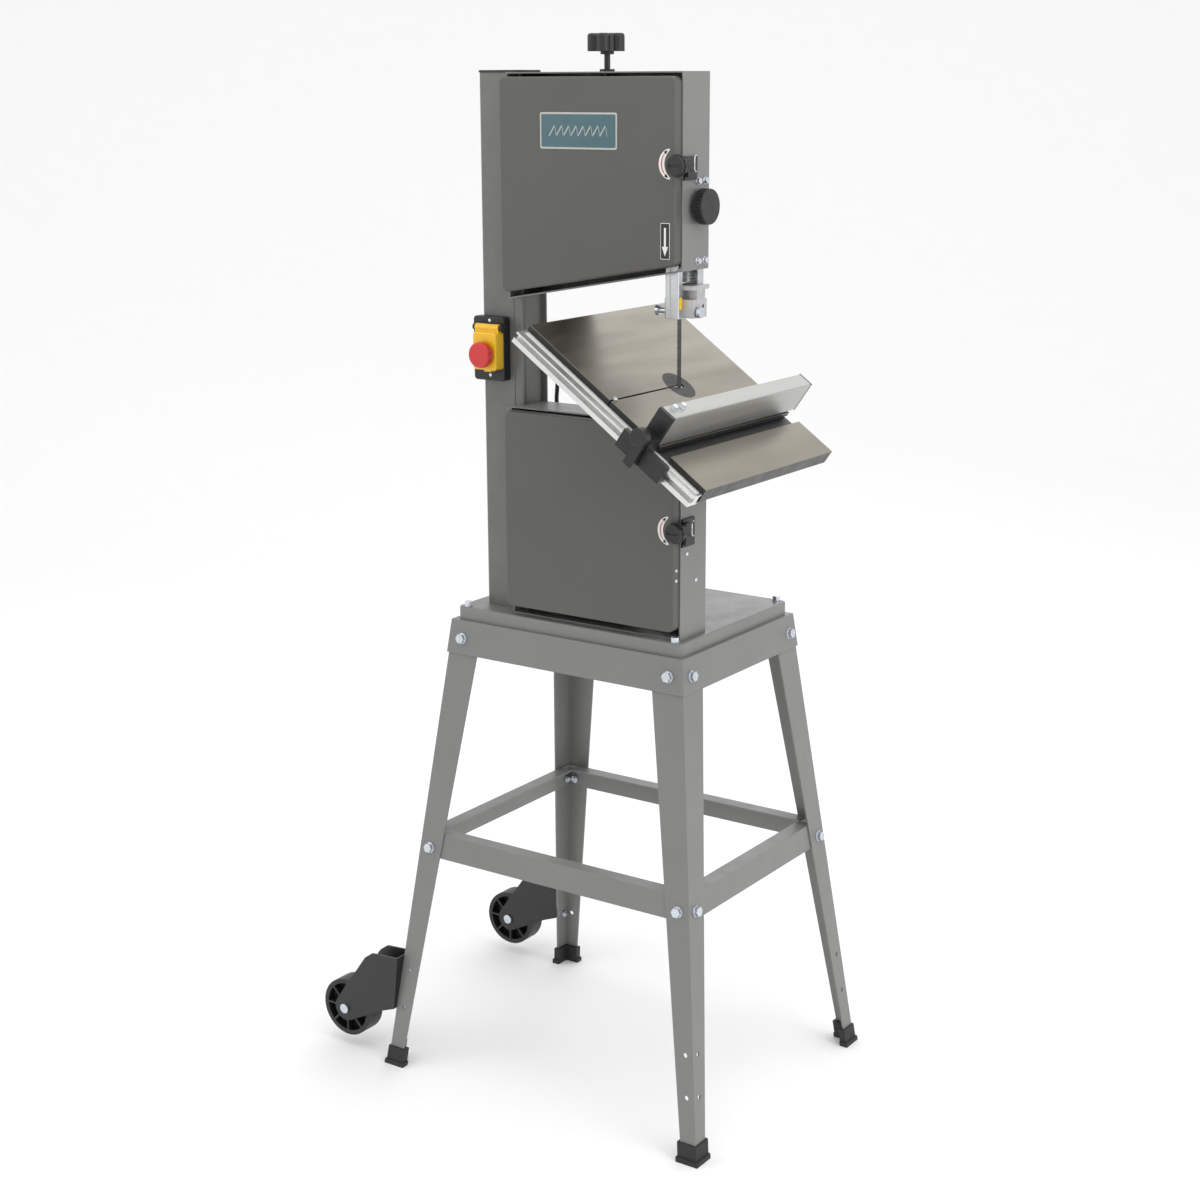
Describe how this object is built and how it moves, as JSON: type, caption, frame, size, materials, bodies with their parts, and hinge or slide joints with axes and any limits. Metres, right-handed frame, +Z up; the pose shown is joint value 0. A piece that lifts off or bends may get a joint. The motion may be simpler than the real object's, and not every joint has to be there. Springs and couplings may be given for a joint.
{
  "type": "band saw",
  "caption": "Band saw on a splayed sheet-steel floor stand with transport wheels, a tilting cast table, rip fence, hinged wheel doors and a guarded stop switch.",
  "frame": {"origin": "centre of the object's box at floor level, with the table stored tilted and the doors shut", "axes": "+Z up, the doors and the user's side face -Y, the blade's free side and the low edge of the table are towards +X"},
  "size_m": [0.7037, 0.5376, 1.499],
  "materials": {
    "pale_paint": "semi-gloss light grey powder coat",
    "black_paint": "semi-gloss black powder coat",
    "hammered_paint": "light grey enamel with a slight orange-peel",
    "door_paint": "satin dark grey powder coat",
    "black_plastic": "moulded, finely textured",
    "wheel_plastic": "moulded, lightly scuffed",
    "boot_rubber": "matt",
    "cable_rubber": "satin sheath",
    "zinc_steel": "bright zinc plate",
    "blade_steel": "bright hardened strip",
    "cast_alloy": "as cast, bead blasted",
    "cast_iron": "ground on top, dark painted beneath",
    "insert_metal": "turned, dull",
    "extrusion": "satin anodised",
    "yellow_plastic": "moulded",
    "red_plastic": "moulded",
    "green_plastic": "moulded"
  },
  "bodies": {
    "frame": {"legs": "pale_paint", "foot_boots": "boot_rubber", "apron_panels": "pale_paint", "braces": "pale_paint", "stand_bolts": "zinc_steel", "wheel_brackets": "black_paint", "base_tray": "pale_paint", "column": "hammered_paint", "column_cap": "black_plastic", "upper_housing": "pale_paint", "lower_housing": "pale_paint", "hinge_pins": "pale_paint", "latch_keepers": "black_paint", "lower_axle": "zinc_steel", "blade": "blade_steel", "tension_spring": "zinc_steel", "motor": "pale_paint", "drive_belt": "boot_rubber", "trunnion_base": "cast_iron", "lower_guide": "cast_alloy", "switch_plate": "black_plastic", "motor_cable": "cable_rubber", "cable_glands": "black_plastic", "dust_port": "black_plastic"},
    "upper_door": {"upper_door": "door_paint", "upper_latch_base": "black_plastic"},
    "lower_door": {"lower_door": "door_paint", "lower_latch_base": "black_plastic"},
    "upper_latch": {"upper_latch_knob": "black_plastic"},
    "lower_latch": {"lower_latch_knob": "black_plastic"},
    "carriage": {"wheel_carriage": "zinc_steel"},
    "upper_wheel": {"upper_wheel": "cast_alloy", "upper_tyre": "boot_rubber"},
    "lower_wheel": {"lower_wheel": "cast_alloy", "lower_tyre": "boot_rubber"},
    "tension_knob": {"tension_knob": "black_plastic"},
    "tracking_knob": {"tracking_knob": "black_plastic"},
    "motor_pulley": {"motor_pulley": "zinc_steel"},
    "guide": {"guide_post": "zinc_steel", "blade_guard": "extrusion", "guide_holder": "cast_alloy", "guide_pins": "zinc_steel"},
    "guide_bearing": {"guide_bearing": "zinc_steel"},
    "guide_knob": {"guide_knob": "black_plastic"},
    "table": {"table": "cast_iron", "table_insert": "insert_metal", "trunnion_shoes": "cast_iron", "rail": "extrusion"},
    "tilt_lock": {"tilt_lock": "zinc_steel"},
    "fence": {"fence_bar": "extrusion", "fence_head": "black_plastic", "fence_end_cap": "black_plastic"},
    "fence_lever": {"fence_lever": "black_plastic"},
    "switch_cover": {"switch_cover": "yellow_plastic"},
    "stop_knob": {"stop_knob": "red_plastic"},
    "start_button": {"start_button": "green_plastic"},
    "stop_button": {"stop_button": "red_plastic"},
    "front_wheel": {"transport_wheel_front": "wheel_plastic"},
    "back_wheel": {"transport_wheel_back": "wheel_plastic"}
  },
  "joints": [
    {"name": "upper_door_hinge", "type": "hinge", "parent": "frame", "child": "upper_door", "pos_m": [-0.04936, -0.09375, 1.3], "axis": [0, 0, 1], "range_deg": [-110, 0]},
    {"name": "lower_door_hinge", "type": "hinge", "parent": "frame", "child": "lower_door", "pos_m": [-0.04936, -0.09375, 0.86], "axis": [0, 0, 1], "range_deg": [-110, 0]},
    {"name": "upper_latch_turn", "type": "hinge", "parent": "upper_door", "child": "upper_latch", "pos_m": [0.23814, -0.11275, 1.334], "axis": [0, -1, 0], "range_deg": [0, 90]},
    {"name": "lower_latch_turn", "type": "hinge", "parent": "lower_door", "child": "lower_latch", "pos_m": [0.23814, -0.11275, 0.86], "axis": [0, -1, 0], "range_deg": [0, 90]},
    {"name": "tension_slide", "type": "slide", "parent": "frame", "child": "carriage", "axis": [0, 0, 1], "range_m": [-0.006, 0], "deforming": ["tension_spring"]},
    {"name": "tension_knob_turn", "type": "hinge", "parent": "frame", "child": "tension_knob", "pos_m": [0.08214, -0.04275, 1.476], "axis": [0, 0, 1], "range_deg": [0, 1240]},
    {"name": "lower_wheel_spin", "type": "hinge", "parent": "frame", "child": "lower_wheel", "pos_m": [0.08214, -0.06375, 0.843], "axis": [0, -1, 0], "continuous": true},
    {"name": "upper_wheel_spin", "type": "hinge", "parent": "carriage", "child": "upper_wheel", "pos_m": [0.08214, -0.06375, 1.312], "axis": [0, -1, 0], "continuous": true},
    {"name": "motor_spin", "type": "hinge", "parent": "frame", "child": "motor_pulley", "pos_m": [0.01414, -0.04575, 0.785], "axis": [0, -1, 0], "continuous": true},
    {"name": "tracking_knob_turn", "type": "hinge", "parent": "carriage", "child": "tracking_knob", "pos_m": [0.08214, -0.01575, 1.312], "axis": [0, 1, 0], "range_deg": [-360, 360]},
    {"name": "guide_slide", "type": "slide", "parent": "frame", "child": "guide", "axis": [0, 0, 1], "range_m": [-0.042, 0.012]},
    {"name": "guide_knob_turn", "type": "hinge", "parent": "frame", "child": "guide_knob", "pos_m": [0.23414, -0.05875, 1.281], "axis": [1, 0, 0], "range_deg": [-290, 82]},
    {"name": "guide_bearing_spin", "type": "hinge", "parent": "guide", "child": "guide_bearing", "pos_m": [0.20964, -0.05035, 1.152], "axis": [1, 0, 0], "continuous": true},
    {"name": "table_tilt", "type": "hinge", "parent": "frame", "child": "table", "pos_m": [0.20974, -0.06375, 1.0475], "axis": [0, 1, 0], "range_deg": [-35, 10]},
    {"name": "tilt_lock_turn", "type": "hinge", "parent": "frame", "child": "tilt_lock", "pos_m": [0.20974, -0.02575, 0.9875], "axis": [0, 1, 0], "range_deg": [0, 90]},
    {"name": "fence_slide", "type": "slide", "parent": "table", "child": "fence", "axis": [0.8192, 0, -0.5736], "range_m": [-0.058, 0.045]},
    {"name": "fence_lever_turn", "type": "hinge", "parent": "fence", "child": "fence_lever", "pos_m": [0.2797, -0.25875, 1.01316], "axis": [0, -1, 0], "range_deg": [0, 90]},
    {"name": "switch_cover_hinge", "type": "hinge", "parent": "frame", "child": "switch_cover", "pos_m": [-0.08086, -0.09775, 1.109], "axis": [-1, 0, 0], "range_deg": [0, 100]},
    {"name": "stop_knob_push", "type": "slide", "parent": "switch_cover", "child": "stop_knob", "axis": [0, 1, 0], "range_m": [0, 0.004], "stiffness_N_per_m": 400},
    {"name": "start_button_push", "type": "slide", "parent": "frame", "child": "start_button", "axis": [0, 1, 0], "range_m": [0, 0.003], "stiffness_N_per_m": 300},
    {"name": "stop_button_push", "type": "slide", "parent": "frame", "child": "stop_button", "axis": [0, 1, 0], "range_m": [0, 0.003], "stiffness_N_per_m": 300},
    {"name": "front_wheel_spin", "type": "hinge", "parent": "frame", "child": "front_wheel", "pos_m": [-0.30686, -0.17275, 0.064], "axis": [0, -1, 0], "continuous": true},
    {"name": "back_wheel_spin", "type": "hinge", "parent": "frame", "child": "back_wheel", "pos_m": [-0.30686, 0.24125, 0.064], "axis": [0, -1, 0], "continuous": true}
  ],
  "couplings": [
    {"joint": "tension_knob_turn", "follows": "tension_slide", "rad_per_m": -3590.4},
    {"joint": "upper_wheel_spin", "follows": "lower_wheel_spin", "ratio": 1},
    {"joint": "motor_spin", "follows": "lower_wheel_spin", "ratio": 1.8},
    {"joint": "guide_knob_turn", "follows": "guide_slide", "rad_per_m": 119}
  ]
}
